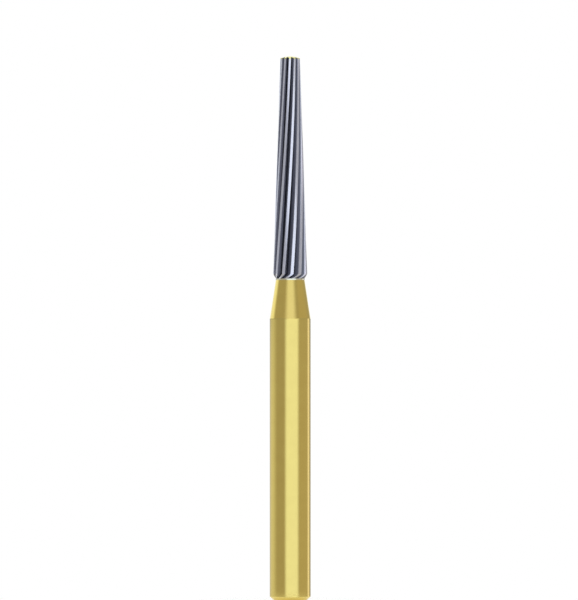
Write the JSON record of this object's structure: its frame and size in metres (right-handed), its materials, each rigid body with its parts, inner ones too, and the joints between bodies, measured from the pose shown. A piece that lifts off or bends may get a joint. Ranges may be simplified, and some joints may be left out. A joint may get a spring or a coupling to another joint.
{
  "type": "dental bur",
  "caption": "Friction-grip dental bur: a long tapered carbide head with right-hand spiral blades and a flat end, on a slim gold-coloured steel shank with a tapered neck.",
  "frame": {"origin": "centre of the shank's end face, where the bur stops in a handpiece", "axes": "+Z along the rotation axis, from the shank's end towards the cutting tip"},
  "size_m": [0.0016, 0.0016, 0.0214],
  "materials": {
    "ground_carbide": "ground tungsten carbide, bright on the lands, with dark flutes and gold left on the unground end",
    "gold_plated_steel": "thin gold plating on smooth turned steel"
  },
  "bodies": {
    "root": {"cutting_head": "ground_carbide", "shank": "gold_plated_steel"}
  },
  "joints": []
}
